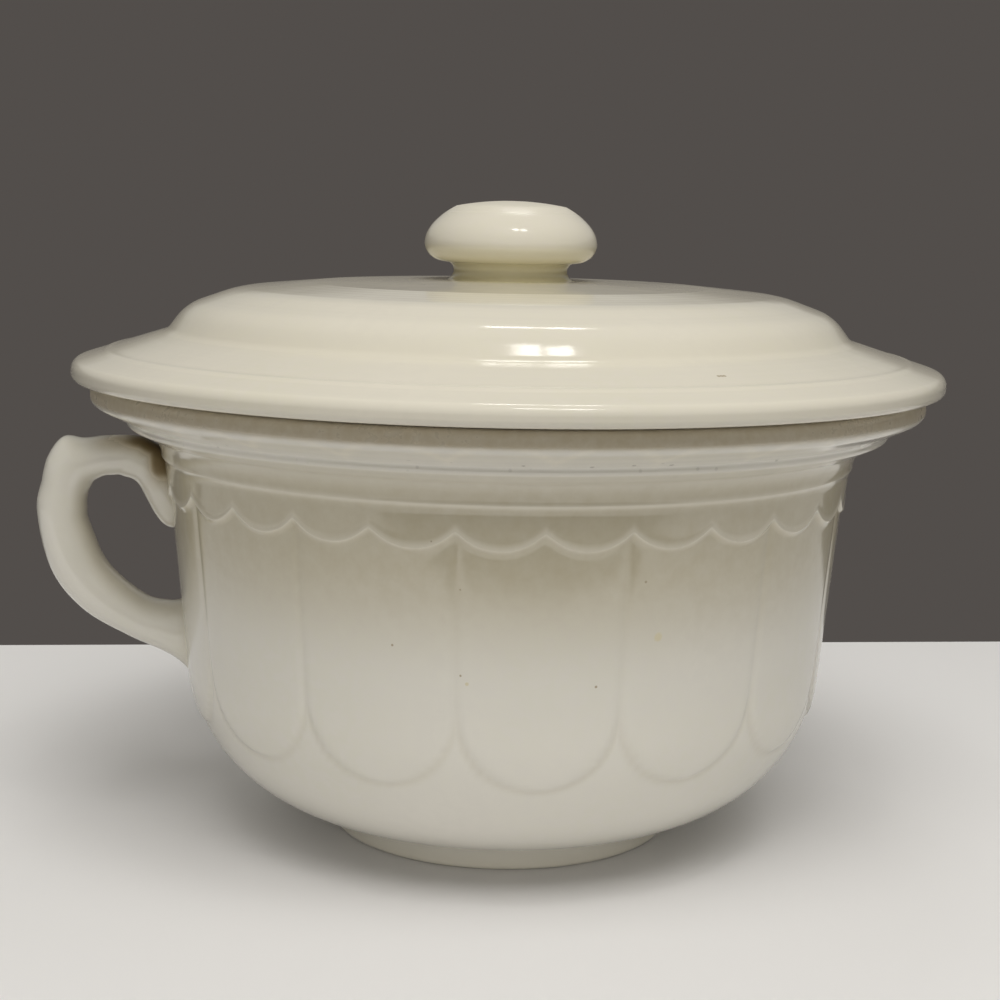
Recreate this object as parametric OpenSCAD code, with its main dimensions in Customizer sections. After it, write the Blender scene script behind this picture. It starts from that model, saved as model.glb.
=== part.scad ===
// Covered chamber pot in ivory glazed earthenware.
// Origin at the centre of the foot on the table, Z up, handle towards -X, millimetres.

/* [Pot wall] */
// Height from the table to the top of the rim
pot_h = 127.5; // [120:0.5:140]
// Outer diameter of the wall at the lowest point of the scallops
wall_d = 188; // [184:0.5:192]
// Lean of the wall from upright, wider towards the top
wall_lean = 5; // [3:0.5:7]
// Thickness of the fired wall
wall_t = 5.5; // [4:0.5:7]
// Radius of the rounded base, seen in section
base_round = 43; // [38:1:48]

/* [Foot] */
// Outer diameter of the foot ring
foot_d = 98; // [94:1:106]
// Width of the foot ring
foot_w = 6.5; // [5:0.5:9]
// Height of the rounded base above the table
foot_h = 7.6; // [6:0.2:10]
// Depth of the hollow under the base, inside the foot ring
foot_hollow = 5; // [3:0.5:8]
// Rounding of the foot ring's outer edge
foot_round = 1.6; // [0.6:0.2:2.4]

/* [Rim and neck] */
// Overhang of the rim beyond the neck
rim_over = 18.95; // [16:0.05:22]
// Thickness of the rim's outer edge
rim_t = 5.4; // [4.8:0.2:7]
// Rounding of the rim's outer edge
rim_round = 2.6; // [1.6:0.2:3]
// Width of the flat on top of the rim, where the lid rests
rim_flat = 3.4; // [2:0.2:5]
// Slope of the rim's underside above the horizontal
rim_slope = 25; // [21:1:29]
// Distance of the step on the rim's underside in from the rim's edge
rim_step_w = 9.5; // [7:0.5:12]
// Depth of the ring line below the top of the rim
ring_drop = 20.5; // [19:0.5:22]
// How far the neck stands out over the scalloped band
ring_out = 0.8; // [0.5:0.1:1.4]
// Radius of the cove between the neck and the rim
cove_round = 7.5; // [6.5:0.5:8.5]
// Angle through which the cove turns outwards
cove_turn = 50; // [44:1:56]

/* [Scalloped band] */
// Number of scallops round the band, two to a panel
scallops = 28; // [24:4:32]
// Depth of the points between the scallops below the top of the rim
cusp_drop = 26.4; // [25:0.2:28]
// Depth of each scallop below those points
scallop_depth = 5; // [4:0.2:6]
// How far the band stands out from the panels
band_out = 0.7; // [0.4:0.1:1.2]

/* [Panels] */
// How far the panels stand out from the wall
panel_out = 0.6; // [0.4:0.1:0.8]
// Width of the groove between two panels
groove_w = 1.4; // [1:0.2:4]
// Height of the panels' round lower ends above the table
panel_foot = 35; // [32:0.5:42]

/* [Handle] */
// Width of the handle at its grip
grip_w = 19; // [15:0.5:24]
// Thickness of the handle at its grip
grip_t = 14.4; // [12:0.2:16]
// How far the grip's outer edge stands out from the wall
handle_out = 37.8; // [33:0.2:44]
// Depth of the handle's upper edge below the top of the rim
handle_drop = 16.6; // [15.6:0.2:18]
// Height of the handle's lowest point above the table
handle_foot = 44; // [40:0.5:48]

/* [Lid] */
// Overhang of the lid's brim beyond the rim
lid_over = 5; // [3:0.2:8]
// Thickness of the brim's outer edge
brim_t = 4.7; // [4:0.1:6]
// How far the brim's underside rises from the rim to that edge
brim_lift = 0.9; // [0.3:0.1:1.5]
// Rounding of the brim's upper edge
brim_round = 3; // [2:0.1:3.2]
// Rounding of the brim's lower edge
brim_under_round = 1.8; // [1:0.1:2.2]
// Slope of the brim's top above the horizontal
brim_slope = 17.5; // [15:0.5:20]
// Width of the brim, from its edge in to the shoulder
brim_w = 25.7; // [22:0.1:29]
// Slope of the shoulder above the horizontal
shoulder_slope = 53; // [46:1:58]
// Width of the shoulder, from the brim in to the crown
shoulder_w = 5.1; // [4.4:0.1:6.4]
// Width of the crown, from the shoulder in to the edge of the lid's top
crown_w = 13.5; // [11:0.5:17]
// Rise of the crown from the shoulder to that edge
crown_rise = 4.8; // [4:0.2:6.4]
// Width of the lid's top, from that edge in to its crest
crest_w = 21; // [16:0.5:26]
// Rise of the lid's top from its edge to its crest
crest_rise = 1.9; // [1:0.1:2.6]
// Rise of the lid's top from its crest to the knob's flat seat
seat_rise = 1.3; // [0.6:0.1:1.8]
// Thickness of the lid's wall
lid_t = 6; // [5:0.5:7]
// Depth of the locating ring below the rim
locator_h = 6.5; // [5:0.5:7]
// Thickness of the locating ring
locator_t = 4.5; // [3.5:0.5:6]
// Clearance between the locating ring and the pot's mouth
locator_gap = 1.5; // [0.8:0.1:2.5]
// Rounding of the corner where the brim meets the shoulder
shoulder_round = 5; // [3:0.5:6]
// Rounding of the corner where the shoulder meets the crown
crown_round = 18; // [12:1:20]
// Rounding of the edges of the lid's top and of its crest
top_round = 30; // [10:1:40]
// Rounding of the locating ring's edges
locator_round = 1.4; // [0.8:0.2:1.6]

/* [Knob] */
// Largest diameter of the knob
knob_d = 48.4; // [44:0.2:54]
// Radius of the flare where the neck meets the lid
knob_flare = 2.5; // [1.5:0.1:4]
// Height of the straight part of the neck
knob_neck_h = 0.2; // [0.1:0.1:2]
// Radius of the hollow under the cap
knob_hollow = 2.2; // [1:0.1:3]
// Width of the rounded lower edge of the cap
knob_edge_w = 6; // [4:0.2:7]
// Height of that rounded edge, up to the widest line
knob_edge_h = 5.1; // [4:0.1:7]
// Height of the cap's side, from the widest line to the flattened top
knob_side_h = 10.4; // [8:0.1:12]
// Angle through which the cap's side turns in below the flattened top
knob_turn = 35; // [30:1:70]
// Diameter of the knob's flattened top
knob_top_d = 30.6; // [26:0.2:36]
// Rise of the knob's flattened top
knob_top_rise = 1.5; // [0.8:0.1:2.4]

/* [Hidden] */
$fn = 96;
ivory = [0.87, 0.84, 0.76];
cream = [0.89, 0.85, 0.75];
eps = 0.01;
// Steps that draw a rounded corner, and the most of a wall's length that its rounding takes
corner_steps = 8;
fillet_share = 0.49;
// Steps that draw the rounded base and the knob's cap
curve_steps = 16;

// Heights on the pot, counted down from the rim
ring_z = pot_h - ring_drop;
cusp_z = pot_h - cusp_drop;
scallop_z = cusp_z - scallop_depth;

// The round base is tangent to the leaning wall and stands on the foot ring
base_z = foot_h + base_round * (1 - sin(wall_lean));
base_c = [wall_r(base_z) - base_round * cos(wall_lean), foot_h + base_round];
foot_r = foot_d / 2;
foot_angle = asin((foot_r - base_c[0]) / base_round) - 90;

// The neck steps out over the band's face, and the cove turns from it towards the rim
band_face = panel_out + band_out;
neck_r = wall_r(ring_z) + band_face + ring_out;
rim_r = neck_r + rim_over;
cove_c = [neck_r + cove_round, ring_z];
cove_end = cove_c + cove_round * [-cos(cove_turn), sin(cove_turn)];
rim_step_r = rim_r - rim_step_w;
rim_low_z = pot_h - rim_t;

// The mouth's inner face follows the cove, then runs straight to the rim's flat top
mouth_top = [rim_r - rim_round - rim_flat, pot_h];
mouth_round = cove_c[0] - wall_r(ring_z) + wall_t;
mouth_turn = tangent_angle(cove_c, mouth_round, mouth_top);
mouth_low = cove_c + mouth_round * [cos(mouth_turn), sin(mouth_turn)];

// Ornament: one panel to every two scallops, a groove and a point of the band on the handle's line
panels = scallops / 2;
handle_turn = 180;
scallop_half = (wall_r(cusp_z) + band_face) * sin(180 / scallops);
scallop_round = (pow(scallop_half, 2) + pow(scallop_depth, 2)) / (2 * scallop_depth);
panel_spring = panel_foot + panel_half(panel_foot);

// How far the outlines that cut the ornament reach inside and outside the wall
relief_in = 20;
relief_out = 6;

// Rings between two handle stations, sides of a ring, and the power that squares its oval
strap_steps = 4;
strap_sides = 16;
strap_square = 0.86;

// How far the lid's seat reaches in past the rim's flat, and the knob's seat out past its foot
lid_seat_margin = 1;
knob_seat_margin = 2;

// Lid corners, from the brim's edge to the knob's seat
lid_r = rim_r + lid_over;
shoulder_r = lid_r - brim_w;
crown_r = shoulder_r - shoulder_w;
top_r = crown_r - crown_w;
crest_r = top_r - crest_w;
knob_neck_r = knob_d / 2 - knob_edge_w - knob_hollow;
seat_r = knob_neck_r + knob_flare + knob_seat_margin;
brim_low_z = pot_h + brim_lift;
brim_z = brim_low_z + brim_t;
shoulder_z = brim_z + brim_w * tan(brim_slope);
crown_z = shoulder_z + shoulder_w * tan(shoulder_slope);
top_z = crown_z + crown_rise;
crest_z = top_z + crest_rise;
seat_z = crest_z + seat_rise;
locator_z = pot_h - locator_h;
locator_r = mouth_r(locator_z) - locator_gap;
locator_in = locator_r - locator_t;
lid_seat_r = mouth_top[0] - lid_seat_margin;
brim_under_z = brim_z + (lid_r - locator_r) * tan(brim_slope) - lid_t / cos(brim_slope);
crown_under = [crown_r - lid_t / 2, crown_z - lid_t];
locator_root_z = crown_under[1] - (locator_in - crown_under[0]) * tan(shoulder_slope);

// Outer radius of the wall at a height, in the grooves between the panels
function wall_r(z) = wall_d / 2 + (z - scallop_z) * tan(wall_lean);

// Radius of the mouth's straight inner face at a height
function mouth_r(z) = mouth_low[0] + (z - mouth_low[1])
    * (mouth_top[0] - mouth_low[0]) / (mouth_top[1] - mouth_low[1]);

// Half the width of a panel at a height, up to the groove's edge
function panel_half(z) = wall_r(z) * sin(180 / panels) - groove_w / 2;

// Angle at which a line from point p touches the circle c, r on its inner side
function tangent_angle(c, r, p) =
    let(d = p - c) atan2(d[1], d[0]) + acos(r / norm(d));

// Points of a circular or oval arc
function arc(c, rx, ry, from, to, steps) =
    [for (i = [0:steps]) let(a = from + (to - from) * i / steps) c + [rx * cos(a), ry * sin(a)]];

// A list of points without those that repeat the one before
function distinct(points) =
    [for (i = [0:len(points) - 1]) if (i == 0 || norm(points[i] - points[i - 1]) > eps) points[i]];

// Unit vector
function unit(v) = v / norm(v);

// Points of the round that replaces corner b between points a and c, no longer than its walls allow
function corner(a, b, c, r) =
    let(
        u = unit(a - b),
        v = unit(c - b),
        half = acos(u * v) / 2,
        longest = fillet_share * min(norm(a - b), norm(c - b)),
        fit_r = min(r, longest * tan(half)),
        centre = b + unit(u + v) * fit_r / sin(half),
        start = b + u * fit_r / tan(half) - centre,
        turn = (180 - 2 * half) * sign(u[0] * v[1] - u[1] * v[0]),
        from = atan2(start[1], start[0])
    )
    arc(centre, fit_r, fit_r, from, from - turn, corner_steps);

// A path of [x, y, rounding] corners, with each corner rounded and the ends kept
function rounded(path) = [
    for (i = [0:len(path) - 1])
        let(p = [path[i][0], path[i][1]])
        each i == 0 || i == len(path) - 1 || path[i][2] == 0
            ? [p]
            : corner(
                [path[i - 1][0], path[i - 1][1]], p,
                [path[i + 1][0], path[i + 1][1]], path[i][2]
            )
];

// Outer curve of the base and wall, moved outwards by a distance, up to a height
function wall_curve(out, from, z) = concat(
    arc(base_c, base_round + out, base_round + out, from, -wall_lean, curve_steps),
    [[wall_r(z) + out / cos(wall_lean), z]]
);

// Foot, base and wall up to the band, then neck, cove and rim, drawn upwards
function pot_outside() = concat(
    rounded([
        [0, foot_hollow],
        [foot_r - foot_w, foot_hollow, foot_round],
        [foot_r - foot_w, 0, 0],
        [foot_r, 0, foot_round],
        [foot_r, foot_h]
    ]),
    wall_curve(0, foot_angle, ring_z),
    arc(cove_c, cove_round, cove_round, 180, 180 - cove_turn, corner_steps),
    rounded([
        [rim_step_r, cove_end[1] + (rim_step_r - cove_end[0]) * tan(rim_slope)],
        [rim_step_r, rim_low_z - (rim_r - rim_step_r) * tan(rim_slope), 0],
        [rim_r, rim_low_z, rim_round],
        [rim_r, pot_h, rim_round],
        [mouth_top[0], pot_h]
    ])
);

// Mouth, inner wall and floor, drawn downwards
function pot_inside() = concat(
    arc(cove_c, mouth_round, mouth_round, mouth_turn, 180, corner_steps),
    [for (i = [curve_steps:-1:0]) wall_curve(-wall_t, -90, ring_z)[i]],
    [[0, foot_h + wall_t]]
);

// A ring of wall between two distances from its plain face
module wall_layer(inner, outer, top) {
    out = wall_curve(outer, -90, top);
    back = wall_curve(inner, -90, top);
    rotate_extrude()
        polygon(concat(out, [for (i = [len(back) - 1:-1:0]) back[i]]));
}

// Stands an outline upright against the wall at an angle, pushed through it
module against_wall(angle) {
    rotate([0, 0, angle])
        translate([wall_r(0) - relief_in, 0, 0])
            rotate([90, 0, 90])
                linear_extrude(height = relief_in + relief_out + wall_r(ring_z) - wall_r(0))
                    children();
}

// The gap under the band where two scallops meet in a point
module spandrel() {
    difference() {
        translate([-scallop_half, scallop_z - eps])
            square([2 * scallop_half, scallop_depth + eps]);
        for (side = [-1, 1])
            translate([side * scallop_half, scallop_z + scallop_round])
                circle(r = scallop_round);
    }
}

// A panel with tapered sides and a round lower end
module panel() {
    half = panel_half(panel_spring);
    translate([0, panel_spring])
        circle(r = half);
    polygon([
        [-half, panel_spring],
        [half, panel_spring],
        [panel_half(ring_z), ring_z],
        [-panel_half(ring_z), ring_z]
    ]);
}

// Raised band with its lower edge cut into scallops
module scalloped_band() {
    difference() {
        rotate_extrude()
            polygon([
                [wall_r(scallop_z) - wall_t / 2, scallop_z],
                [wall_r(scallop_z) + band_face, scallop_z],
                [wall_r(ring_z) + band_face, ring_z],
                [wall_r(ring_z) - wall_t / 2, ring_z]
            ]);
        for (i = [0:scallops - 1])
            against_wall(handle_turn + i * 360 / scallops)
                spandrel();
    }
}

// The raised panels, rooted in the wall and running up behind the band
module raised_panels() {
    intersection() {
        wall_layer(-wall_t / 2, panel_out, ring_z - eps);
        for (i = [0:panels - 1])
            against_wall(handle_turn + (i + 0.5) * 360 / panels)
                panel();
    }
}

// Moulded body: foot ring, rounded base, panelled wall, scalloped band, neck and rim
module pot_body() {
    color(ivory)
        union() {
            rotate_extrude()
                polygon(concat(pot_outside(), pot_inside()));
            raised_panels();
            scalloped_band();
        }
}

// Handle stations from the tongue's tip over the grip to the lower end, each
// [outer edge's share of the way from wall to reach, its share of the height,
//  direction to the inner edge, share of the thickness, share of the width]
handle_reach = wall_d / 2 + handle_out;
handle_rise = pot_h - handle_drop - handle_foot;
handle_stations = [
    [-0.04, 0.62, -11, 0.30, 0.34],
    [-0.05, 0.72, -22, 0.56, 0.62],
    [0.02, 0.91, -40, 0.765, 0.78],
    [0.15, 0.98, -54, 0.845, 0.85],
    [0.265, 1, -66, 0.82, 0.90],
    [0.47, 1, -90, 0.76, 0.92],
    [0.65, 0.99, -111, 0.83, 0.95],
    [0.80, 0.995, -121, 1.07, 1],
    [0.91, 0.92, -134, 1.06, 1],
    [0.96, 0.82, -147, 1, 1],
    [1, 0.685, -167, 1, 1],
    [0.91, 0.44, -195, 1.01, 1],
    [0.70, 0.27, -216, 0.95, 1],
    [0.40, 0.155, -244, 0.82, 1],
    [0.145, 0.08, -268, 0.98, 1.05],
    [-0.06, 0, -274, 1.33, 1.1]
];

// Point of a smooth curve through the stations, a share t of the way past station i
function through(p, i, t) =
    let(
        a = p[max(i - 1, 0)],
        b = p[i],
        c = p[min(i + 1, len(p) - 1)],
        d = p[min(i + 2, len(p) - 1)]
    )
    b + t / 2 * (c - a + t * (2 * a - 5 * b + 4 * c - d + t * (3 * b - a - 3 * c + d)));

// A number raised to a power with its sign kept
function signed_pow(x, p) = sign(x) * pow(abs(x), p);

// Strap of softly squared oval section swept along the stations
module handle_strap() {
    path = [
        for (i = [0:len(handle_stations) - 2], k = [0:strap_steps - 1])
            through(handle_stations, i, k / strap_steps),
        handle_stations[len(handle_stations) - 1]
    ];
    last = len(path) - 1;
    points = [
        for (s = path)
            let(
                z = handle_foot + s[1] * handle_rise,
                x = wall_r(z) + s[0] * (handle_reach - wall_r(z)),
                inward = [cos(s[2]), sin(s[2])],
                half_t = s[3] * grip_t / 2,
                half_w = s[4] * grip_w / 2
            )
            for (k = [0:strap_sides - 1])
                let(
                    a = 360 * k / strap_sides,
                    u = half_t * (1 + signed_pow(cos(a), strap_square)),
                    v = half_w * signed_pow(sin(a), strap_square)
                )
                [-(x + inward[0] * u), v, z + inward[1] * u]
    ];
    sides = [
        for (i = [0:last - 1], k = [0:strap_sides - 1])
            let(
                a = i * strap_sides + k,
                b = i * strap_sides + (k + 1) % strap_sides
            )
            each [[a, b, b + strap_sides], [a, b + strap_sides, a + strap_sides]]
    ];
    first_end = [for (k = [strap_sides - 1:-1:0]) k];
    last_end = [for (k = [0:strap_sides - 1]) last * strap_sides + k];
    polyhedron(points, concat([first_end], sides, [last_end]));
}

// Handle: strap with a tongue down the wall and a spreading lower end, seated on the pot
module handle() {
    color(ivory)
        difference() {
            handle_strap();
            pot_body();
        }
}

// Lid: rounded brim, shoulder, crown and low domed top over a hollow with a locating ring
module lid() {
    top = rounded([
        [lid_seat_r, pot_h],
        [rim_r - rim_round, pot_h, 0],
        [lid_r, brim_low_z, brim_under_round],
        [lid_r, brim_z, brim_round],
        [shoulder_r, shoulder_z, shoulder_round],
        [crown_r, crown_z, crown_round],
        [top_r, top_z, top_round],
        [crest_r, crest_z, top_round],
        [seat_r, seat_z, top_round],
        [0, seat_z]
    ]);
    under = rounded([
        [0, seat_z - lid_t],
        [top_r, top_z - lid_t, top_round - lid_t],
        [crown_under[0], crown_under[1], crown_round - lid_t],
        [locator_in, locator_root_z, shoulder_round],
        [locator_in, locator_z, locator_round],
        [locator_r, locator_z, locator_round],
        [locator_r, brim_under_z, locator_round],
        [lid_seat_r, pot_h]
    ]);
    color(cream)
        rotate_extrude()
            polygon(distinct(concat(top, [for (i = [0:len(under) - 2]) under[i]])));
}

// Knob: flared neck, hollow under the cap, rounded cap with a flattened top
module knob() {
    widest = knob_d / 2;
    top = knob_top_d / 2;
    hollow_z = knob_flare + knob_neck_h;
    widest_z = hollow_z + knob_hollow + knob_edge_h;
    top_edge_z = widest_z + knob_side_h;
    flare_c = [knob_neck_r + knob_flare, knob_flare];
    hollow_c = [knob_neck_r + knob_hollow, hollow_z];
    edge_c = [widest - knob_edge_w, widest_z];
    side_rx = (widest - top) / (1 - cos(knob_turn));
    side_ry = knob_side_h / sin(knob_turn);
    dome = (pow(top, 2) + pow(knob_top_rise, 2)) / (2 * knob_top_rise);
    dome_c = [0, top_edge_z + knob_top_rise - dome];
    color(cream)
        translate([0, 0, seat_z])
            rotate_extrude()
                polygon(distinct(concat(
                    [[0, 0]],
                    arc(flare_c, knob_flare, knob_flare, 270, 180, corner_steps),
                    arc(hollow_c, knob_hollow, knob_hollow, 180, 90, corner_steps),
                    arc(edge_c, knob_edge_w, knob_edge_h, -90, 0, corner_steps),
                    arc([widest - side_rx, widest_z], side_rx, side_ry, 0, knob_turn, curve_steps),
                    arc(dome_c, dome, dome, 90 - asin(top / dome), 90, corner_steps)
                )));
}

pot_body();
handle();
lid();
knob();
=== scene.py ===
import bpy
import numpy as np
from mathutils import Matrix, Vector


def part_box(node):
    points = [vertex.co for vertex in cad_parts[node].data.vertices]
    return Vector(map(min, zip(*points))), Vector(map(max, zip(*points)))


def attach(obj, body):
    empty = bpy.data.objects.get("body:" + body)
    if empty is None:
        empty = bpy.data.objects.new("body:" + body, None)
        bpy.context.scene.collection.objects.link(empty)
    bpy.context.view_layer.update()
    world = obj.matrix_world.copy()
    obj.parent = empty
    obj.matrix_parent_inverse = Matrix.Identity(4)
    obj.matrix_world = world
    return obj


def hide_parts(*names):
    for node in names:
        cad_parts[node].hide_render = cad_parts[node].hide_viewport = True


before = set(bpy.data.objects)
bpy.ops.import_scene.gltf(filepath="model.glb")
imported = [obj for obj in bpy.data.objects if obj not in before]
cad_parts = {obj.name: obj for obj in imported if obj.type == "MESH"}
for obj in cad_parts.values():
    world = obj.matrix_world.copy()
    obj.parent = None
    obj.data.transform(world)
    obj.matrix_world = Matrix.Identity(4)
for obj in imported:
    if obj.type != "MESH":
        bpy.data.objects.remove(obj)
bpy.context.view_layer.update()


# Pot body: one thick piece of white earthenware. A mould gave it its panels and its scalloped
# band; the foot, neck and rim were turned, and the whole was dipped in a cream glaze.
pot_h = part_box("pot_body")[1].z
rim_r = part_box("pot_body")[1].x

wall_d = 0.188
wall_lean = np.radians(5)
wall_t = 0.0055
base_round = 0.043
foot_r = 0.049
foot_w = 0.0065
foot_h = 0.0076
foot_hollow = 0.005
foot_round = 0.0016
foot_inner_round = 0.001
foot_join = 0.0002
rim_over = 0.01895
rim_t = 0.0054
rim_round = 0.0026
rim_flat = 0.0034
rim_slope = np.radians(25)
rim_step_w = 0.0095
rim_step_round = 0.001
rim_corner_round = 0.0014
mouth_edge_round = 0.0015
ring_drop = 0.0205
ring_out = 0.0008
ring_fillet = 0.0028
cove_round = 0.0075
cove_turn = 50
scallops = 28
scallop_drop = 0.0264
scallop_depth = 0.005
point_round = 0.0005
band_out = 0.0007
band_bevel = 0.0011
band_fillet = 0.0004
band_roll = 0.00014
band_roll_in = 0.0001
band_roll_w = 0.0006
panel_out = 0.0006
panel_edge = 0.0019
panel_foot = 0.035
groove_w = 0.0014
groove_fill = 0.55
fill_below = 0.01
fill_above = 0.006
valley_depth = 0.00015
valley_away = 0.0007
valley_w = 0.0008
rim_tool_rings = 0.000012

ring_z = pot_h - ring_drop
cusp_z = pot_h - scallop_drop
scallop_z = cusp_z - scallop_depth
panels = scallops // 2
band_face = panel_out + band_out
handle_turn = np.pi


def wall_r(z):
    """Outer radius of the leaning wall at a height, in the grooves between the panels."""
    return wall_d / 2 + (z - scallop_z) * np.tan(wall_lean)


base_z = foot_h + base_round * (1 - np.sin(wall_lean))
base_c = np.array([wall_r(base_z) - base_round * np.cos(wall_lean), foot_h + base_round])
neck_r = rim_r - rim_over
cove_c = np.array([neck_r + cove_round, ring_z])


def arc(centre, rx, ry, start, stop, steps):
    """Points of a circular or oval arc: the centre plus each radius times the cosine or sine of
    evenly spaced angles, in degrees."""
    a = np.radians(np.linspace(start, stop, steps + 1))
    return np.column_stack([centre[0] + rx * np.cos(a), centre[1] + ry * np.sin(a)])


def rounded(corners, steps=8, fit=0.49):
    """A path of [r, z, rounding] corners. Each corner becomes the arc that touches both its sides,
    cut down to fit a share of the shorter one, and the two ends stay."""
    path = [np.array([corners[0][:2]])]
    for before, (r, z, radius), after in zip(corners, corners[1:], corners[2:]):
        here = np.array([r, z])
        sides = np.array([before[:2], after[:2]]) - here
        lengths = np.linalg.norm(sides, axis=1)
        u, v = sides / lengths[:, None]
        half = np.arccos(np.clip(u @ v, -1, 1)) / 2
        radius = min(radius, fit * lengths.min() * np.tan(half))
        centre = here + (u + v) / np.linalg.norm(u + v) * radius / np.sin(half)
        start = here + u * radius / np.tan(half) - centre
        turn = (np.pi - 2 * half) * np.sign(u[0] * v[1] - u[1] * v[0])
        first = np.degrees(np.arctan2(start[1], start[0]))
        path.append(arc(centre, radius, radius, first, first - np.degrees(turn), steps))
    return np.concatenate(path + [np.array([corners[-1][:2]])])


def even(path, step, shortest=1e-7):
    """The same path with its long straight stretches cut into equal steps no longer than a step, and
    with points that lie on one another left out."""
    pieces = [np.linspace(a, b, max(1, int(np.ceil(np.linalg.norm(b - a) / step))), endpoint=False)
              for a, b in zip(path, path[1:]) if np.linalg.norm(b - a) > shortest]
    return np.concatenate(pieces + [path[-1:]])


def smooth(x, low, high):
    """0 below low, 1 above high, and the cubic 3t^2 - 2t^3 of the share t between them."""
    t = np.clip((x - low) / (high - low), 0, 1)
    return t * t * (3 - 2 * t)


def bell(distance, width):
    """Bell curve: the exponential of minus the square of a distance over a width."""
    return np.exp(-(distance / width) ** 2)


def panel_half(z):
    """Half the width of a panel at a height, up to the edge of its groove."""
    return wall_r(z) * np.sin(np.pi / panels) - groove_w / 2


scallop_half = (wall_r(cusp_z) + band_face) * np.sin(np.pi / scallops)
scallop_round = (scallop_half ** 2 + scallop_depth ** 2) / (2 * scallop_depth)
scallop_c = scallop_z + scallop_round
panel_spring = panel_foot + panel_half(panel_foot)

# Columns round the pot, crowded into the grooves and onto the points of the band
columns_per_panel = 28
groove_crowding = 0.3
point_crowding = 0.5
columns = columns_per_panel * panels
share = np.arange(columns) * panels / columns
share = (share - groove_crowding * np.sin(2 * np.pi * share) / (2 * np.pi)
         - point_crowding * np.sin(4 * np.pi * share) / (4 * np.pi))
pot_angle = handle_turn + share * 2 * np.pi / panels
from_panel = (share % 1 - 0.5) * 2 * np.pi / panels
from_scallop = (share * 2 % 1 - 0.5) * np.pi / panels
to_point = scallop_half - (wall_r(cusp_z) + band_face) * np.sin(np.abs(from_scallop))
scallop_x = scallop_half - np.hypot(to_point, point_round)


def scallop_line(out):
    """Height, at each column, of the line a distance below the scalloped edge: the arc of the
    scallop's own circle grown by that distance."""
    return scallop_c - np.sqrt((scallop_round + out) ** 2 - scallop_x ** 2)


def below_scallops(z):
    """Distance out from the scallops' circles at each column and a height, below 0 on the band."""
    return np.hypot(scallop_x, scallop_c - z) - scallop_round


def outline(r, z):
    """Distance out from a panel's edge, below 0 within it. A panel is a tapered strip closed at its
    lower end by a half circle."""
    x = np.abs(r * np.sin(from_panel))
    low_end = np.hypot(x, z - panel_spring) - panel_half(panel_spring)
    return np.where(z > panel_spring, x - panel_half(z), low_end)


def relief(r, z):
    """Height of the ornament over the plain wall. A panel is a cushion: its height times a quarter
    round over the distance in from its edge, with the grooves part filled by glaze and a bell-shaped
    valley outside its round end. Below the scallops' circles the band falls by a bevel and then by
    the exponential of the distance, with a bell-shaped roll on its edge, and a cube of the height
    lifts it to the ring line."""
    out = outline(r, z)
    within = np.clip(-out / panel_edge, 0, 1)
    high = smooth(z, panel_spring - fill_below, panel_spring + fill_above)
    filled = groove_fill * high
    panel = panel_out * (filled + (1 - filled) * np.sqrt(1 - (1 - within) ** 2))
    valley = (1 - high) * valley_depth * bell(out - valley_away, valley_w)
    below = below_scallops(z)
    bevel = 1 - np.clip(below / band_bevel, 0, 1) * band_bevel / (band_bevel + band_fillet)
    band = bevel * np.exp(-np.maximum(below - band_bevel, 0) / band_fillet)
    roll = band_roll * bell(below + band_roll_in, band_roll_w)
    lift = ring_out * np.clip(1 - (ring_z - z) / ring_fillet, 0, 1) ** 3
    return panel - valley + (band_face - panel) * band + roll + lift


# Rows of the wall, upwards: round base, wall, scalloped edge, band, ring line
base_rows = 14
low_end_rows = 24
low_wall_rows = 8
wall_rows = 10
edge_rows = 24
between_rows = 6
ring_rows = 14
ring_crowding = 1.5
ornament_angle = -32
wall_top = 0.086
edge_reach = 0.0026
edge_inward = 0.45
level_h = 0.002

foot_angle = np.degrees(np.arcsin((foot_r - base_c[0]) / base_round)) - 90
base_angles = np.radians(np.concatenate([
    np.linspace(foot_angle, ornament_angle, base_rows, endpoint=False),
    np.linspace(ornament_angle, -np.degrees(wall_lean), low_end_rows, endpoint=False),
]))
edge_way = np.linspace(1, -edge_inward, edge_rows)
edge_outs = edge_reach * edge_way * np.abs(edge_way)
edge_low = scallop_line(edge_outs[0])
edge_high = scallop_line(edge_outs[-1])
band_top = ring_z - ring_fillet
wall_z = np.concatenate([
    np.linspace(base_z, panel_spring, low_wall_rows, endpoint=False),
    np.linspace(panel_spring, wall_top, wall_rows, endpoint=False),
])
to_edge = np.linspace(0, 1, between_rows, endpoint=False)[:, None]
to_band = np.linspace(0, 1, between_rows)[1:, None]
to_ring = np.linspace(1, 0, ring_rows)[1:, None] ** ring_crowding
straight_z = np.concatenate([
    np.repeat(wall_z[:, None], columns, axis=1),
    wall_top + (edge_low - wall_top) * to_edge,
    np.stack([scallop_line(out) for out in edge_outs]),
    edge_high + (band_top - edge_high) * to_band,
    np.repeat(ring_z - ring_fillet * to_ring, columns, axis=1),
])
lean = np.concatenate([base_angles[:, None], np.full((len(straight_z), 1), -wall_lean)])
face_r = np.concatenate([
    np.repeat(base_c[0] + base_round * np.cos(base_angles)[:, None], columns, axis=1),
    wall_r(straight_z),
])
face_z = np.concatenate([
    np.repeat(base_c[1] + base_round * np.sin(base_angles)[:, None], columns, axis=1),
    straight_z,
])
# The relief stands square to the wall and turns level just under the ring line
raised = relief(face_r, face_z)
wall_rows_r = face_r + raised * np.cos(lean)
wall_rows_z = face_z + raised * np.sin(lean) * smooth(ring_z - face_z, 0, level_h)

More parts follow.
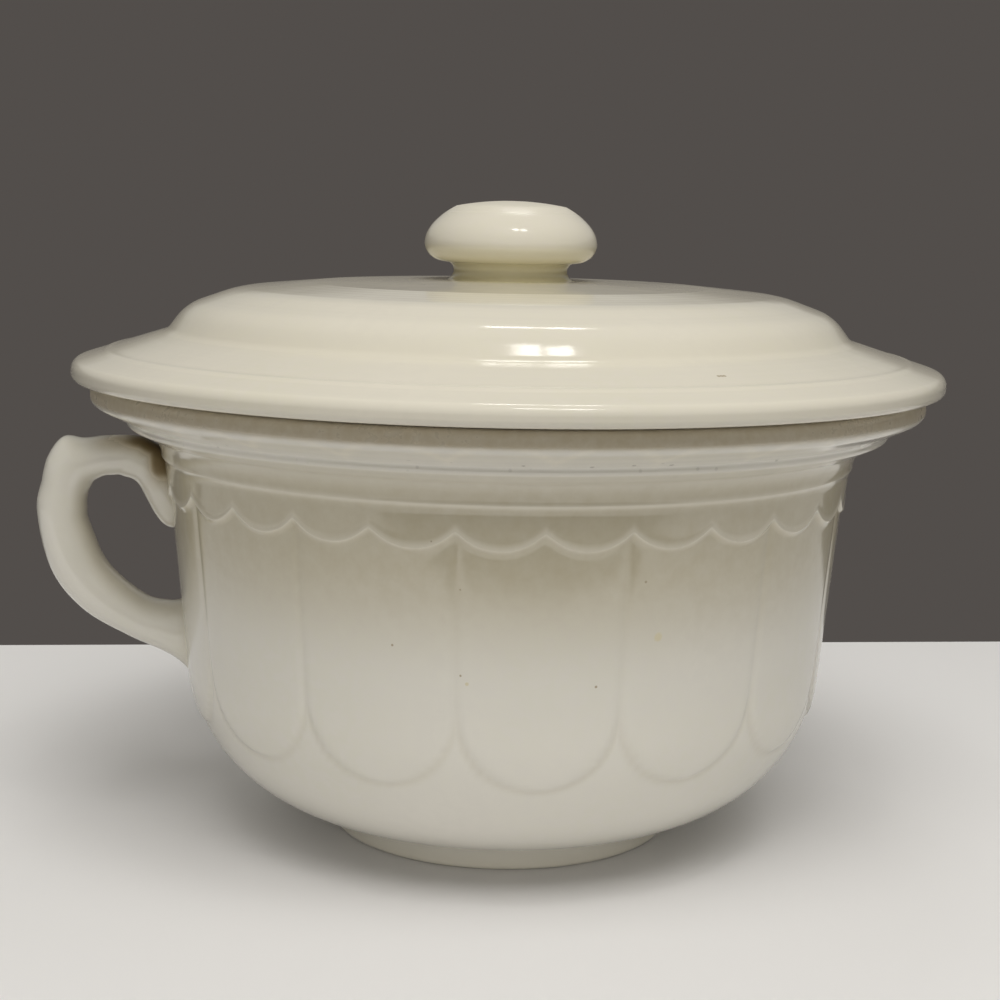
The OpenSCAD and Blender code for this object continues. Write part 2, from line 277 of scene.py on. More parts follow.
# Rows of the turned parts, below and above that wall
underside_step = 0.006
rim_row_step = 0.001
inside_step = 0.012
rim_step_r = rim_r - rim_step_w
rim_low_z = pot_h - rim_t
underside = even(rounded([
    [0, foot_hollow],
    [foot_r - foot_w, foot_hollow, foot_round],
    [foot_r - foot_w, 0, foot_inner_round],
    [foot_r, 0, foot_round],
    [foot_r, foot_h - foot_join],
], steps=5), underside_step)
cove = arc(cove_c, cove_round, cove_round, 180, 180 - cove_turn, 16)[1:]
mouth_top = np.array([rim_r - rim_round - rim_flat, pot_h])
mouth_round = cove_c[0] - wall_r(ring_z) + wall_t
mouth_way = mouth_top - cove_c
mouth_turn = np.degrees(np.arctan2(mouth_way[1], mouth_way[0])
                        + np.arccos(mouth_round / np.linalg.norm(mouth_way)))
mouth = arc(cove_c, mouth_round, mouth_round, mouth_turn, 180, 8)
rim = even(rounded([
    [*cove[-1]],
    [rim_step_r, cove[-1][1] + (rim_step_r - cove[-1][0]) * np.tan(rim_slope), rim_corner_round],
    [rim_step_r, rim_low_z - rim_step_w * np.tan(rim_slope), rim_step_round],
    [rim_r, rim_low_z, rim_round],
    [rim_r, pot_h, rim_round],
    [*mouth_top, mouth_edge_round],
    [*mouth[0]],
]), rim_row_step)[1:]
inside_round = base_round - wall_t
inside_base = arc(base_c, inside_round, inside_round, -np.degrees(wall_lean), -90, 12)
inside = even(np.concatenate([mouth[1:], inside_base, [[0, foot_h + wall_t]]]), inside_step)


def turned(path, height, coarse=0.0037, fine=0.0021, fade_w=0.004):
    """Path of a turned surface with the faint rings of the turning tool: a coarse and a fine sine of
    the distance along it, moved square to the path and faded out at its ends."""
    along = np.concatenate([[0], np.cumsum(np.linalg.norm(np.diff(path, axis=0), axis=1))])
    way = np.gradient(path, axis=0)
    way /= np.maximum(np.linalg.norm(way, axis=1, keepdims=True), 1e-9)
    rings = np.sin(along * 2 * np.pi / coarse) + 0.7 * np.sin(along * 2 * np.pi / fine + 1.3)
    fade = smooth(along, 0, fade_w) * smooth(along[-1] - along, 0, fade_w)
    return path + np.column_stack([way[:, 1], -way[:, 0]]) * (height * rings * fade)[:, None]


above = np.concatenate([turned(np.concatenate([cove, rim]), rim_tool_rings), inside])
pot_r = np.concatenate([
    np.repeat(underside[:, :1], columns, axis=1),
    wall_rows_r,
    np.repeat(above[:, :1], columns, axis=1),
])
pot_z = np.concatenate([
    np.repeat(underside[:, 1:], columns, axis=1),
    wall_rows_z,
    np.repeat(above[:, 1:], columns, axis=1),
])


def spun(r, z, angle):
    """Points [row, column, xyz] at a radius and height on each row, turned through each angle."""
    return np.stack([r * np.cos(angle), r * np.sin(angle), z + 0 * angle], axis=-1)


def closed_mesh(name, grid, **marks):
    """Mesh of a grid of points [row, column, xyz] that closes round its columns. The first and last
    rows lie in one point each and become poles. Marks are numbers kept at each point of the grid,
    and the glaze reads a mark that is left out as 0."""
    def kept(values):
        between = values[1:-1].reshape(-1, *values.shape[2:])
        return np.concatenate([values[:1, 0], between, values[-1:, 0]])

    points = kept(grid)
    here = 1 + np.arange(len(points) - 2).reshape(len(grid) - 2, -1)
    beside = np.roll(here, -1, axis=1)
    last = np.full_like(here[0], len(points) - 1)
    fans = np.concatenate([
        np.column_stack([0 * here[0], beside[0], here[0]]),
        np.column_stack([here[-1], beside[-1], last]),
    ])
    quads = np.stack([here[:-1], beside[:-1], beside[1:], here[1:]], axis=-1).reshape(-1, 4)
    mesh = bpy.data.meshes.new(name)
    mesh.from_pydata(points.tolist(), [], fans.tolist() + quads.tolist())
    for mark, values in marks.items():
        kept_values = kept(values).astype(np.float32)
        mesh.attributes.new(mark, "FLOAT", "POINT").data.foreach_set("value", kept_values)
    mesh.shade_smooth()
    piece = bpy.data.objects.new(name, mesh)
    bpy.context.scene.collection.objects.link(piece)
    return piece


class Shade:
    """One socket of a material's nodes. Arithmetic on it adds Math nodes, and node() any other."""

    def __init__(self, tree, socket=None):
        self.tree = tree
        self.socket = socket

    def node(self, kind, settings=None, inputs=None, out=0):
        """A node of a kind: its settings are set first, then the values or links of its sockets."""
        made = self.tree.nodes.new(kind)
        for key, value in (settings or {}).items():
            setattr(made, key, value)
        for key, value in (inputs or {}).items():
            if isinstance(value, Shade):
                self.tree.links.new(value.socket, made.inputs[key])
            else:
                made.inputs[key].default_value = value
        return Shade(self.tree, made.outputs[out] if made.outputs else None)

    def math(self, operation, first, second):
        """A Math node of two numbers or sockets."""
        return self.node("ShaderNodeMath", {"operation": operation}, {0: first, 1: second})

    def __add__(self, other):
        return self.math("ADD", self, other)

    __radd__ = __add__

    def __mul__(self, other):
        return self.math("MULTIPLY", self, other)

    __rmul__ = __mul__

    def __sub__(self, other):
        return self.math("SUBTRACT", self, other)

    def __rsub__(self, other):
        return self.math("SUBTRACT", other, self)

    def step(self, low, high):
        """0 at low, 1 at high, with a smooth cubic between."""
        return self.node("ShaderNodeMapRange", {"interpolation_type": "SMOOTHSTEP"},
                         {0: self, 1: low, 2: high})

    def tint(self, under, over):
        """Colour that goes from one to another as this share goes from 0 to 1."""
        return self.node("ShaderNodeMix", {"data_type": "RGBA"}, {0: self, 6: under, 7: over}, out=2)


# Pale cream of painted highlights and painted light, and the darkest brown of staining mixed with painted
# shade
thin_cream = (0.84, 0.8, 0.69, 1)
crust_and_shade_brown = (0.2, 0.145, 0.07, 1)
speck_brown = (0.3, 0.24, 0.15, 1)
pinhole_brown = (0.1, 0.075, 0.05, 1)
cloud_tone = (0.975, 0.98, 0.955, 1)
mottle_tone = (0.985, 0.985, 0.985, 1)
speck_cells = 150
pinhole_cells = 430


def glaze(name, body, pool_and_shade_tone, stain, marks):
    """Lead-type glaze over a white body: cloudy colour, deeper where glaze gathers and where shade is
    painted in that colour, pale cream where highlights and light are painted, brown where use has left
    staining and where shade is painted with it, dull where hands have worn it, with iron specks,
    pinholes and the marks given as (place, radius, colour)."""
    material = bpy.data.materials.new(name)
    material.use_nodes = True
    tree = material.node_tree
    tree.nodes.clear()
    sheet = Shade(tree)
    place = sheet.node("ShaderNodeTexCoord", out="Object")

    def noise(scale, detail, roughness=0.5):
        return sheet.node("ShaderNodeTexNoise", inputs={
            "Vector": place, "Scale": scale, "Detail": detail, "Roughness": roughness})

    def cells(scale, out):
        return sheet.node("ShaderNodeTexVoronoi", inputs={"Vector": place, "Scale": scale}, out=out)

    def chance(scale):
        return sheet.node("ShaderNodeSeparateColor", inputs={0: cells(scale, "Color")})

    def mark(key):
        return sheet.node("ShaderNodeAttribute", {"attribute_name": key}, out="Fac")

    cloud = noise(scale=22, detail=3).step(0.3, 0.7)
    mottle = noise(scale=260, detail=2, roughness=0.6)
    # Deeper colour where glaze gathers, and painted shade in the same colour
    pooled = mark("pooled") * (0.75 + 0.5 * mottle)
    stained = mark("stained")
    # Brown staining mixed with painted shade in crevices, darkest as a crust
    dirt_and_shade = stained * (0.65 + 0.7 * noise(scale=420, detail=3, roughness=0.6))
    crust_and_shade = stained.step(0.62, 1.0) * (0.7 + 0.6 * noise(scale=300, detail=3))
    speck_dots = 1 - cells(speck_cells, "Distance").step(0.02, 0.045)
    specks = speck_dots * chance(speck_cells).step(0.97, 0.985)
    pinhole_dots = 1 - cells(pinhole_cells, "Distance").step(0.14, 0.26)
    pinholes = pinhole_dots * chance(pinhole_cells).step(0.62, 0.7) * mark("pinholes")

    colour = cloud.tint(body, [c * k for c, k in zip(body, cloud_tone)])
    colour = (0.5 * mottle).step(0.2, 0.32).tint(colour, [c * k for c, k in zip(body, mottle_tone)])
    colour = pooled.tint(colour, pool_and_shade_tone)
    # Pale cream of painted highlights and painted light
    colour = mark("thin").tint(colour, thin_cream)
    colour = dirt_and_shade.tint(colour, stain)
    colour = crust_and_shade.tint(colour, crust_and_shade_brown)
    colour = specks.tint(colour, speck_brown)
    colour = pinholes.tint(colour, pinhole_brown)
    for where, radius, shade in marks:
        away = sheet.node("ShaderNodeVectorMath", {"operation": "DISTANCE"},
                          {0: place, 1: where}, out="Value")
        spot = 1 - (away + radius * (mottle - 0.5)).step(0.55 * radius, radius)
        colour = spot.tint(colour, shade)

    ripple = noise(scale=38, detail=2) + noise(scale=420, detail=1) * 0.06 - pinholes * 0.8 - specks * 0.15
    bump = sheet.node("ShaderNodeBump", inputs={"Strength": 0.5, "Distance": 0.00035, "Height": ripple})
    rough = 0.075 + 0.05 * cloud + 0.3 * dirt_and_shade + 0.35 * pinholes + 0.28 * mark("worn")
    surface = sheet.node("ShaderNodeBsdfPrincipled", inputs={
        "Base Color": colour, "Roughness": rough, "Normal": bump, "IOR": 1.7})
    sheet.node("ShaderNodeOutputMaterial", inputs={"Surface": surface})
    return material


pot_place = spun(pot_r, pot_z, pot_angle)
outside_rows = len(underside) + len(wall_rows_r) + len(cove) + len(rim) // 2
outside = np.arange(len(pot_r))[:, None] < outside_rows
scallop_below = below_scallops(pot_z)

# Thick glaze at the corner over the foot and in the grooves round the panels, darker at the panels' round
# ends partly by painted shade; and painted shade under the rim's overhang in the colour of thick glaze
under_rim_shade_start = 0.06
under_rim_shade_full = 0.094
under_rim_shade_fade = 0.108
under_rim_shade_end = 0.118
under_rim_shade_share = 0.7
corner_pool = 0.05
corner_pool_w = 0.0012
groove_pool = 0.04
groove_end_pool_and_shade = 0.12
groove_pool_out = 0.0006
groove_pool_w = 0.0009
groove_low_above = 0.002
groove_start = 0.004
groove_end = 0.001
# Painted shade under the rim's overhang
under_rim_shade = smooth(pot_z, under_rim_shade_start, under_rim_shade_full) * (1 - smooth(pot_z, under_rim_shade_fade, under_rim_shade_end))
low_ends = 1 - smooth(pot_z, panel_spring - fill_below, panel_spring + groove_low_above)
in_panels = smooth(pot_z, panel_foot - groove_start, panel_foot) * smooth(scallop_below, 0, groove_end)
in_grooves = bell(outline(pot_r, pot_z) - groove_pool_out, groove_pool_w) * in_panels
pot_pooled = outside * np.clip(
    under_rim_shade_share * under_rim_shade + corner_pool * bell(pot_z - foot_h, corner_pool_w)
    + (groove_pool + groove_end_pool_and_shade * low_ends) * in_grooves, 0, 1)

# Painted highlights along the scalloped edge and the ring line, and painted light on the foot, all in a
# pale cream
edge_thin = 0.65
edge_thin_up = 0.0002
ring_thin = 0.6
thin_w = 0.0008
foot_thin_drop = 0.0003
# Painted highlights on the edge and ring line, painted light on the foot
pot_thin = outside * np.clip(
    edge_thin * bell(scallop_below + edge_thin_up, thin_w) + ring_thin * bell(pot_z - ring_z, thin_w)
    + (pot_z < foot_h - foot_thin_drop), 0, 1)

# Darker brown on the rim's edge under the lid's overhang, staining with painted shade round the handle's
# root, and pinholes under the rim
rim_edge_darkening = 0.66
rim_darkening_start = 0.0052
rim_darkening_full = 0.0038
rim_darkening_w = 0.0045
root_stain_and_shade_r = 0.0095
root_out = 0.001
root_up = 0.003
pinholes_out = 0.0012
pinholes_w = 0.0009
pinholes_down = 0.0045
pinholes_h = 0.003
# Darker brown on the rim's edge, and staining with painted shade in the crevice round the handle's root
rim_edge = smooth(pot_z, pot_h - rim_darkening_start, pot_h - rim_darkening_full) * (pot_r > rim_r - rim_darkening_w)
handle_root = np.array([-neck_r - root_out, 0, ring_z + root_up])
root_away = np.linalg.norm(pot_place - handle_root, axis=-1)
pot_stained = np.clip(rim_edge_darkening * rim_edge + bell(root_away, root_stain_and_shade_r), 0, 1)
pot_pinholes = (bell(pot_r - rim_step_r - pinholes_out, pinholes_w)
                * bell(pot_z - rim_low_z + pinholes_down, pinholes_h))

ivory = (0.757, 0.732, 0.662, 1)
# Colour of thick glaze, also used for painted shade
ivory_pool_and_shade = (0.5, 0.44, 0.29, 1)
# Brown of staining, also used for painted shade in crevices
stain_and_shade_brown = (0.42, 0.345, 0.215, 1)
straw = (0.68, 0.62, 0.44, 1)
iron_brown = (0.42, 0.36, 0.25, 1)

# Faults in the glaze of the wall: angle round the pot, height, radius, colour
wall_faults = [
    (288.2, 0.0737, 0.0014, straw),
    (258.9, 0.0627, 0.0005, straw),
    (257.9, 0.0647, 0.0004, iron_brown),
    (278.6, 0.0620, 0.0004, iron_brown),
    (247.4, 0.0713, 0.0004, iron_brown),
    (257.8, 0.0862, 0.0004, iron_brown),
    (285.5, 0.0879, 0.0004, iron_brown),
]


def at(r, angle, z):
    """Place at a radius, an angle round the pot in degrees, and a height."""
    return (r * np.cos(np.radians(angle)), r * np.sin(np.radians(angle)), z)


pot_glaze = glaze("pot_glaze", ivory, ivory_pool_and_shade, stain_and_shade_brown, [
    (at(wall_r(z) + panel_out, angle, z), radius, colour)
    for angle, z, radius, colour in wall_faults])

pot_body = closed_mesh("pot_body_glazed", pot_place, pooled=pot_pooled, stained=pot_stained,
                       pinholes=pot_pinholes, thin=pot_thin)
pot_body.data.materials.append(pot_glaze)
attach(pot_body, "pot")
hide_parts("pot_body")


# Handle: a strap of the same clay, cast by itself and luted to the pot with slip before firing.
# A tongue runs down the wall from its upper end, and its lower end spreads on the wall.
grip_w = 0.019
grip_t = 0.0144
grip_reach = 0.0378
grip_drop = 0.0166
handle_foot = 0.044
strap_square = 0.86
strap_rings = 181
strap_sides = 56
tip_rings = 8
end_rings = 2
root_swell = 0.22
root_swell_w = 0.0022
dent_depth = 0.0004
dent_r = 0.0013
dent_c = np.array([-0.1232, -0.0085, 0.0846])

handle_reach = wall_d / 2 + grip_reach
handle_top = pot_h - grip_drop

# Stations from the tongue's tip to the lower end: outer edge's share of the way from wall to reach,
# its share of the height, direction to the inner edge, shares of the thickness and of the width
handle_stations = np.array([
    [-0.04, 0.62, -11, 0.30, 0.34],
    [-0.05, 0.72, -22, 0.56, 0.62],
    [0.02, 0.91, -40, 0.765, 0.78],
    [0.15, 0.98, -54, 0.845, 0.85],
    [0.265, 1, -66, 0.82, 0.90],
    [0.47, 1, -90, 0.76, 0.92],
    [0.65, 0.99, -111, 0.83, 0.95],
    [0.80, 0.995, -121, 1.07, 1],
    [0.91, 0.92, -134, 1.06, 1],
    [0.96, 0.82, -147, 1, 1],
    [1, 0.685, -167, 1, 1],
    [0.91, 0.44, -195, 1.01, 1],
    [0.70, 0.27, -216, 0.95, 1],
    [0.40, 0.155, -244, 0.82, 1],
    [0.145, 0.08, -268, 0.98, 1.05],
    [-0.06, 0, -274, 1.33, 1.1],
])


def through(stations, rings):
    """Smooth curve through the stations: the Catmull-Rom cubic of each station and its neighbours."""
    way = np.linspace(0, len(stations) - 1, rings)
    i = np.minimum(way.astype(int), len(stations) - 2)
    t = (way - i)[:, None]
    a, b = stations[np.maximum(i - 1, 0)], stations[i]
    c, d = stations[i + 1], stations[np.minimum(i + 2, len(stations) - 1)]
    return b + t / 2 * (c - a + t * (2 * a - 5 * b + 4 * c - d + t * (3 * b - a - 3 * c + d)))


strap = through(handle_stations, strap_rings)
strap_turn = np.linspace(0, 2 * np.pi, strap_sides, endpoint=False)
strap_z = handle_foot + strap[:, 1] * (handle_top - handle_foot)
strap_x = wall_r(strap_z) + strap[:, 0] * (handle_reach - wall_r(strap_z))
inward = np.radians(strap[:, 2:3])
squared_cos = np.sign(np.cos(strap_turn)) * np.abs(np.cos(strap_turn)) ** strap_square
squared_sin = np.sign(np.sin(strap_turn)) * np.abs(np.sin(strap_turn)) ** strap_square
half_t = strap[:, 3:4] * grip_t / 2
half_w = strap[:, 4:5] * grip_w / 2


def strap_grid(swell, cap):
    """Rings of softly squared ovals along the stations, each grown about its middle by its swell and
    closed to a point at both ends by the cap: a quarter round at the tip, straight at the lower end."""
    across = half_t * (1 + swell * cap * squared_cos)
    return np.stack([
        -(strap_x[:, None] + np.cos(inward) * across),
        half_w * swell * cap * squared_sin,
        strap_z[:, None] + np.sin(inward) * across,
    ], axis=-1)


ring_no = np.arange(strap_rings)[:, None]
tip_share = np.clip(1 - ring_no / tip_rings, 0, 1)
end_share = np.clip(1 - (strap_rings - 1 - ring_no) / end_rings, 0, 1)
strap_cap = np.sqrt(np.clip(1 - tip_share ** 2, 0, 1)) * (1 - end_share)
plain_strap = strap_grid(1, strap_cap)
off_wall = np.hypot(plain_strap[..., 0], plain_strap[..., 1]) - wall_r(plain_strap[..., 2])
strap_place = strap_grid(1 + root_swell * np.exp(-np.maximum(off_wall, 0) / root_swell_w), strap_cap)
dent_away = np.linalg.norm(strap_place - dent_c, axis=-1)
strap_place[..., 1] += dent_depth * bell(dent_away, dent_r)

# Staining mixed with painted shade along the top of the strap, darkest towards the neck, and in the
# crevice at its root
top_stain_and_shade = 0.66
top_stain_and_shade_end = neck_r + 0.0225
top_stain_and_shade_full = neck_r + 0.0115
top_stain_and_shade_low_z = 0.092
top_stain_and_shade_high_z = 0.104
crust_and_shade_end = neck_r + 0.0125
crust_and_shade_full = neck_r + 0.005
crevice_full = 0.0035
crevice_end = 0.0085
crevice_low_z = 0.095
crevice_high_z = 0.103
along_top = (smooth(strap_x, top_stain_and_shade_end, top_stain_and_shade_full)
             * smooth(strap_z, top_stain_and_shade_low_z, top_stain_and_shade_high_z))
crusted_and_shaded = smooth(strap_x, crust_and_shade_end, crust_and_shade_full)
strap_outer = smooth(-np.cos(strap_turn), 0, 0.9)
top_stained = (along_top * (top_stain_and_shade + (1 - top_stain_and_shade) * crusted_and_shaded))[:, None] * strap_outer
# The crevice at the root gets staining mixed with painted shade
crevice = (1 - smooth(off_wall, crevice_full, crevice_end)) * smooth(
    plain_strap[..., 2], crevice_low_z, crevice_high_z)
handle_stained = np.maximum(top_stained, crevice)

# Thick glaze at the roots, and painted shade in the colour of thick glaze along the inner side of the
# strap
root_pool = 0.4
root_pool_w = 0.002
inner_shade = 0.25
# Painted shade on the inner side of the strap
strap_inner = smooth(np.cos(strap_turn), 0.4, 1)
handle_pooled = root_pool * np.exp(-np.maximum(off_wall, 0) / root_pool_w) + inner_shade * strap_inner

handle = closed_mesh("handle_glazed", strap_place, pooled=np.clip(handle_pooled, 0, 1),
                     stained=handle_stained)
handle.data.materials.append(pot_glaze)
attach(handle, "pot")
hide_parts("handle")


# Lid: a loose earthenware cover, turned on the wheel, with a sloping brim, a step up to a low domed
# top and a ring underneath that locates it in the mouth. It lies on the rim by its weight.
lid_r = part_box("lid")[1].x
brim_t = 0.0047
brim_lift = 0.0009
brim_round = 0.003
brim_under_round = 0.0018
brim_slope = np.radians(17.5)
brim_w = 0.0257
brim_seat_round = 0.001
brim_ring_in = 0.0096
brim_ring_h = 0.00025
brim_ring_w = 0.0009
shoulder_slope = np.radians(53)
shoulder_w = 0.0051
shoulder_round = 0.005
crown_w = 0.0135
crown_rise = 0.0048
crown_round = 0.018
crest_w = 0.021
crest_rise = 0.0019
seat_rise = 0.0013
seat_r = 0.0205
top_round = 0.03
lid_t = 0.006
lid_seat_in = 0.001
lid_tool_rings = 0.000006
lid_columns = 288
lid_under_step = 0.004
lid_top_step = 0.0007
locator_h = 0.0065
locator_t = 0.0045
locator_gap = 0.0015
locator_round = 0.0014

shoulder_r = lid_r - brim_w
crown_r = shoulder_r - shoulder_w
top_r = crown_r - crown_w
crest_r = top_r - crest_w
brim_low_z = pot_h + brim_lift
brim_z = brim_low_z + brim_t
shoulder_z = brim_z + brim_w * np.tan(brim_slope)
crown_z = shoulder_z + shoulder_w * np.tan(shoulder_slope)
top_z = crown_z + crown_rise
crest_z = top_z + crest_rise
seat_z = crest_z + seat_rise
locator_z = pot_h - locator_h
locator_r = (mouth[0][0] + (locator_z - mouth[0][1]) * (mouth_top[0] - mouth[0][0])
             / (mouth_top[1] - mouth[0][1]) - locator_gap)
locator_in = locator_r - locator_t
lid_seat_r = mouth_top[0] - lid_seat_in
crown_under_r = crown_r - lid_t / 2
crown_under_z = crown_z - lid_t
shoulder_under_z = crown_under_z - (locator_in - crown_under_r) * np.tan(shoulder_slope)
brim_under_z = brim_z + (lid_r - locator_r) * np.tan(brim_slope) - lid_t / np.cos(brim_slope)

lid_under = even(rounded([
    [0, seat_z - lid_t],
    [top_r, top_z - lid_t, top_round - lid_t],
    [crown_under_r, crown_under_z, crown_round - lid_t],
    [locator_in, shoulder_under_z, shoulder_round],
    [locator_in, locator_z, locator_round],
    [locator_r, locator_z, locator_round],
    [locator_r, brim_under_z, locator_round],
    [lid_seat_r, pot_h],
]), lid_under_step)
lid_top = even(rounded([
    [lid_seat_r, pot_h],
    [rim_r - rim_round, pot_h, brim_seat_round],
    [lid_r, brim_low_z, brim_under_round],
    [lid_r, brim_z, brim_round],
    [shoulder_r, shoulder_z, shoulder_round],
    [crown_r, crown_z, crown_round],
    [top_r, top_z, top_round],
    [crest_r, crest_z, top_round],
    [seat_r, seat_z, top_round],
    [0, seat_z],
], steps=12), lid_top_step)
brim_ring = brim_ring_h * bell(lid_top[:, 0] - (lid_r - brim_ring_in), brim_ring_w)
lid_top[:, 1] += brim_ring * (lid_top[:, 1] > brim_z)
lid_path = np.concatenate([lid_under[:-1], turned(lid_top, lid_tool_rings)])
lid_angle = np.linspace(0, 2 * np.pi, lid_columns, endpoint=False)
lid_place = spun(lid_path[:, :1], lid_path[:, 1:], lid_angle)

shoulder_pool = 0.08
shoulder_pool_w = 0.0035
seat_pool = 0.4
seat_pool_w = 0.004
lid_on_top = np.arange(len(lid_path))[:, None] >= len(lid_under)
lid_rows_r = np.repeat(lid_path[:, :1], lid_columns, axis=1)
lid_pooled = lid_on_top * np.clip(
    shoulder_pool * bell(lid_rows_r - shoulder_r, shoulder_pool_w)
    + seat_pool * bell(lid_rows_r - seat_r, seat_pool_w), 0, 1)

cream = (0.76, 0.72, 0.62, 1)
cream_thick = (0.68, 0.62, 0.38, 1)
chip_away = 0.1046
chip_r = 0.0006
chip_angles = (292.2, 292.7, 293.1)
chip_z = brim_z + (lid_r - chip_away) * np.tan(brim_slope)
lid_glaze = glaze("lid_glaze", cream, cream_thick, stain_and_shade_brown, [
    (at(chip_away, angle, chip_z), chip_r, iron_brown) for angle in chip_angles])

lid = closed_mesh("lid_glazed", lid_place, pooled=lid_pooled)
lid.data.materials.append(lid_glaze)
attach(lid, "lid")
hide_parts("lid")


# Knob: turned by itself and luted to the middle of the lid before glazing. A flared neck carries a
# flattened cap that overhangs it, where the glaze has run and pooled.
knob_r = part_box("knob")[1].x
knob_flare = 0.0025
knob_neck_h = 0.0002
knob_hollow = 0.0022
knob_edge_w = 0.006
knob_edge_h = 0.0051
knob_side_h = 0.0104
knob_turn = 35
knob_top_r = 0.0153
knob_top_rise = 0.0015
knob_step = 0.002
knob_columns = 128

neck = knob_r - knob_edge_w - knob_hollow
hollow_z = knob_flare + knob_neck_h
widest_z = hollow_z + knob_hollow + knob_edge_h
top_edge_z = widest_z + knob_side_h
side_rx = (knob_r - knob_top_r) / (1 - np.cos(np.radians(knob_turn)))
side_ry = knob_side_h / np.sin(np.radians(knob_turn))
dome = (knob_top_r ** 2 + knob_top_rise ** 2) / (2 * knob_top_rise)
dome_half = np.degrees(np.arcsin(knob_top_r / dome))
knob_path = even(np.concatenate([
    [[0, 0]],
    arc([neck + knob_flare, knob_flare], knob_flare, knob_flare, 270, 180, 10),
    arc([neck + knob_hollow, hollow_z], knob_hollow, knob_hollow, 180, 90, 10),
    arc([knob_r - knob_edge_w, widest_z], knob_edge_w, knob_edge_h, -90, 0, 12),
    arc([knob_r - side_rx, widest_z], side_rx, side_ry, 0, knob_turn, 20),
    arc([0, top_edge_z + knob_top_rise - dome], dome, dome, 90 - dome_half, 90, 8),
]), knob_step)
knob_path = knob_path + [0, seat_z]
knob_angle = np.linspace(0, 2 * np.pi, knob_columns, endpoint=False)
knob_place = spun(knob_path[:, :1], knob_path[:, 1:], knob_angle)

under_pool = 0.4
under_pool_below = 0.0018
under_pool_above = 0.0006
neck_pool = 0.34
neck_pool_below = 0.003
worn_h = 0.004
knob_up = knob_place[..., 2] - seat_z
knob_pooled = (
    under_pool * (1 - smooth(knob_up, widest_z - under_pool_below, widest_z + under_pool_above))
    + neck_pool * (1 - smooth(knob_up, hollow_z, widest_z - neck_pool_below)))
knob_worn = smooth(knob_up, top_edge_z - worn_h, top_edge_z)

knob = closed_mesh("knob_glazed", knob_place, pooled=knob_pooled, worn=knob_worn)
knob.data.materials.append(lid_glaze)
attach(knob, "lid")
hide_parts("knob")


# Table, light and camera: a plain pale table before a plain backdrop, soft light from overhead and
# from the front, and the camera a little above the lid's brim.
view_turn = np.radians(-5.8)
camera_away = 0.52254
camera_up = 0.177
camera_down = np.radians(9.1216)
camera_yaw = np.radians(0.1812)
camera_roll = np.radians(1.1248)
turned_view = Matrix.Rotation(view_turn, 4, "Z")

lens = bpy.data.cameras.new("camera")
lens.lens = 66.39
lens.sensor_width = 36
camera = bpy.data.objects.new("camera", lens)
camera.matrix_world = (
    turned_view
    @ Matrix.Translation((0, -camera_away, camera_up))
    @ Matrix.Rotation(camera_yaw, 4, "Z")
    @ Matrix.Rotation(np.pi / 2 - camera_down, 4, "X")
    @ Matrix.Rotation(camera_roll, 4, "Z")
)
bpy.context.scene.collection.objects.link(camera)
bpy.context.scene.camera = camera

table_x = 0.75
table_near = -0.3
table_far = 0.21
table_t = 0.02
table_white = (0.85, 0.845, 0.855, 1)
table_corners = [(x, y, z) for z in (-table_t, 0) for y in (table_near, table_far)
                 for x in (-table_x, table_x)]
table_mesh = bpy.data.meshes.new("table")
table_mesh.from_pydata(table_corners, [], [
    (0, 2, 3, 1), (4, 5, 7, 6), (0, 1, 5, 4), (2, 6, 7, 3), (0, 4, 6, 2), (1, 3, 7, 5)])
table = bpy.data.objects.new("table", table_mesh)
bpy.context.scene.collection.objects.link(table)
table_paint = bpy.data.materials.new("table_paint")
table_paint.use_nodes = True
table_paint.node_tree.nodes.clear()
paint = Shade(table_paint.node_tree)
paint_surface = paint.node("ShaderNodeBsdfPrincipled", inputs={
    "Base Color": table_white, "Roughness": 0.9, "Specular IOR Level": 0.1})
paint.node("ShaderNodeOutputMaterial", inputs={"Surface": paint_surface})
table_mesh.materials.append(table_paint)

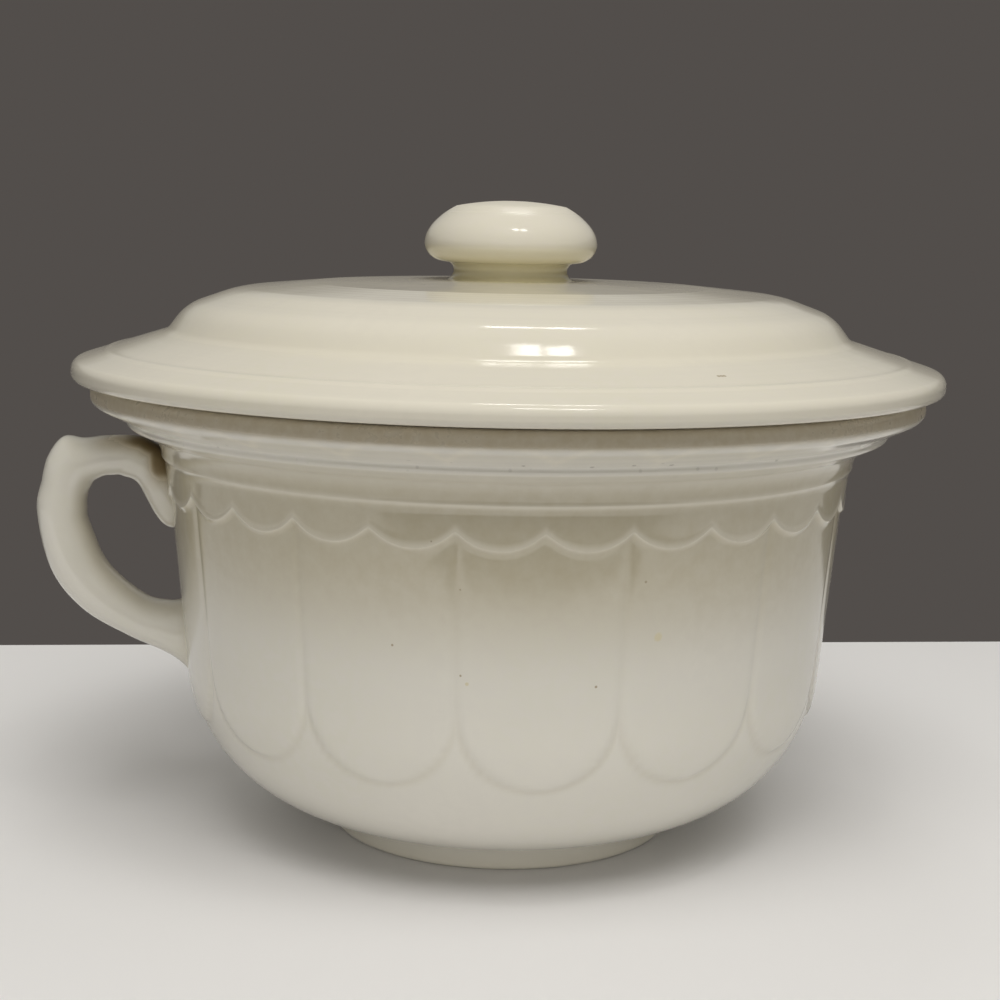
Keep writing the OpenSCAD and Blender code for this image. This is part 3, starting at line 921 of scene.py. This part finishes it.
# The backdrop that is seen and mirrored, and the dome that only lights: both brighten upwards
backdrop_low = (0.085, 0.076, 0.07, 1)
backdrop_high = (0.32, 0.31, 0.29, 1)
dome_low = (0.04, 0.038, 0.034, 1)
dome_high = (0.54, 0.525, 0.485, 1)
room = bpy.data.worlds.new("room")
room.use_nodes = True
room.node_tree.nodes.clear()
air = Shade(room.node_tree)
seen = (air.node("ShaderNodeLightPath", out="Is Camera Ray")
        + air.node("ShaderNodeLightPath", out="Is Glossy Ray")
        + air.node("ShaderNodeLightPath", out="Is Transmission Ray")).step(0, 1)
direction = air.node("ShaderNodeTexCoord", out="Generated")
up = air.node("ShaderNodeSeparateXYZ", inputs={0: direction}, out="Z")
backdrop = up.step(0.11, 0.21).tint(backdrop_low, backdrop_high)
dome_light = up.step(0.1, 1.0).tint(dome_low, dome_high)
sky = air.node("ShaderNodeBackground", inputs={"Color": seen.tint(dome_light, backdrop), "Strength": 1.0})
air.node("ShaderNodeOutputWorld", inputs={"Surface": sky})
bpy.context.scene.world = room

lamp_white = (1, 0.98, 0.94)
lamp_aim = Vector((0, 0, 0.12))


def lamp(name, place, size, watts, mirrored=True):
    """A soft rectangular lamp at a place given in the camera's own directions, facing the pot. One
    that isn't mirrored lights the pot but makes no bright patch in its glaze."""
    light = bpy.data.lights.new(name, "AREA")
    light.shape = "RECTANGLE"
    light.size, light.size_y = size
    light.energy = watts
    light.color = lamp_white
    facing = (Vector(place) - lamp_aim).to_track_quat("Z", "Y").to_matrix().to_4x4()
    fitting = bpy.data.objects.new(name, light)
    fitting.matrix_world = turned_view @ Matrix.Translation(place) @ facing
    fitting.visible_glossy = mirrored
    bpy.context.scene.collection.objects.link(fitting)


lamp("room_light", (0.096, -0.68, 1.2), (0.8, 0.8), 8.6, mirrored=False)
lamp("room_bounce", (0, -1.29, 0.28), (0.6, 0.5), 2.6, mirrored=False)
lamp("lamp_front_left", (0.084, -0.46, 1.12), (0.11, 0.13), 0.4)
lamp("lamp_front_right", (0.233, -0.46, 1.12), (0.11, 0.13), 0.4)
lamp("lamp_back_left", (0, 0.44, 1.15), (0.12, 0.1), 0.3)
lamp("lamp_back_right", (0.14, 0.44, 1.15), (0.11, 0.1), 0.3)

bpy.context.scene.view_settings.view_transform = "Standard"
